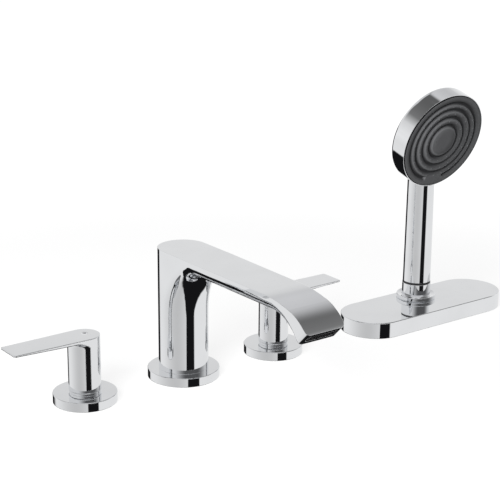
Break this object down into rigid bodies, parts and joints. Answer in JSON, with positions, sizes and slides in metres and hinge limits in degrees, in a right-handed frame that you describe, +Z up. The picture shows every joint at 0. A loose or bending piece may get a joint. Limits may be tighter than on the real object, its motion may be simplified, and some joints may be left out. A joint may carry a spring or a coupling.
{
  "type": "deck-mounted bath mixer",
  "caption": "Deck-mounted bath mixer: side valves with flat levers, a low spout that flows out of its column, and a round hand shower in a holder on a long plate.",
  "frame": {"origin": "on the spout's axis, on the top face of the deck", "axes": "+Z up out of the deck, -Y the way the spout points over the bath, +X from the left valve to the hand shower"},
  "size_m": [0.6027, 0.2486, 0.367],
  "materials": {
    "chrome": "polished",
    "black_plastic": "satin",
    "face_plastic": "matt",
    "soft_nozzle": "matt",
    "seal_rubber": "matt",
    "brass": "machined",
    "ceramic": "lapped ceramic",
    "stainless": "plain",
    "white_plastic": "moulded",
    "marker_enamel": "enamel"
  },
  "bodies": {
    "deck_set": {"clamp_washers": "stainless", "deck_gaskets": "seal_rubber", "deck_plate": "chrome", "escutcheon_foot_seals": "seal_rubber", "frame_screws": "stainless", "holder_shank": "brass", "holder_socket": "chrome", "left_base_ring": "chrome", "left_escutcheon": "chrome", "left_fixed_disc": "ceramic", "left_headwork_body": "brass", "left_neck_bush": "brass", "left_valve_body": "brass", "mixing_tee": "brass", "plate_frame": "black_plastic", "plate_gasket": "seal_rubber", "right_base_ring": "chrome", "right_escutcheon": "chrome", "right_fixed_disc": "ceramic", "right_headwork_body": "brass", "right_neck_bush": "brass", "right_valve_body": "brass", "shank_nuts": "brass", "spout_body": "chrome", "spout_escutcheon": "chrome", "spout_grub_screw": "stainless", "spout_o_rings": "seal_rubber", "spout_post": "brass", "spout_shank": "brass", "stream_former": "black_plastic", "valve_disc_seals": "seal_rubber", "valve_glide_bushes": "white_plastic", "valve_top_nuts": "brass"},
    "left_lever": {"left_handle": "chrome", "left_handle_insert": "white_plastic", "left_handle_screw": "stainless", "left_marker": "marker_enamel", "left_spindle": "brass", "left_spindle_o_rings": "seal_rubber", "left_turning_disc": "ceramic"},
    "right_lever": {"right_handle": "chrome", "right_handle_insert": "white_plastic", "right_handle_screw": "stainless", "right_marker": "marker_enamel", "right_spindle": "brass", "right_spindle_o_rings": "seal_rubber", "right_turning_disc": "ceramic"},
    "holder_lining": {"holder_liner": "black_plastic"},
    "hand_shower": {"shower_shell": "chrome", "spray_face": "face_plastic", "nozzle_mat": "soft_nozzle", "chamber_plate": "white_plastic", "inner_pipe": "white_plastic", "hose_nipple": "brass"}
  },
  "joints": [
    {"name": "left_lever_turn", "type": "hinge", "parent": "deck_set", "child": "left_lever", "pos_m": [-0.11, 0, 0.03], "axis": [0, 0, 1], "range_deg": [0, 90]},
    {"name": "right_lever_turn", "type": "hinge", "parent": "deck_set", "child": "right_lever", "pos_m": [0.11, 0, 0.03], "axis": [0, 0, -1], "range_deg": [0, 90]},
    {"name": "shower_swivel", "type": "hinge", "parent": "deck_set", "child": "holder_lining", "pos_m": [0.3125, 0.0045, 0.03], "axis": [0, 0, 1], "range_deg": [-180, 180]},
    {"name": "shower_lift", "type": "slide", "parent": "holder_lining", "child": "hand_shower", "axis": [0, 0, 1], "range_m": [0, 0.15]}
  ]
}
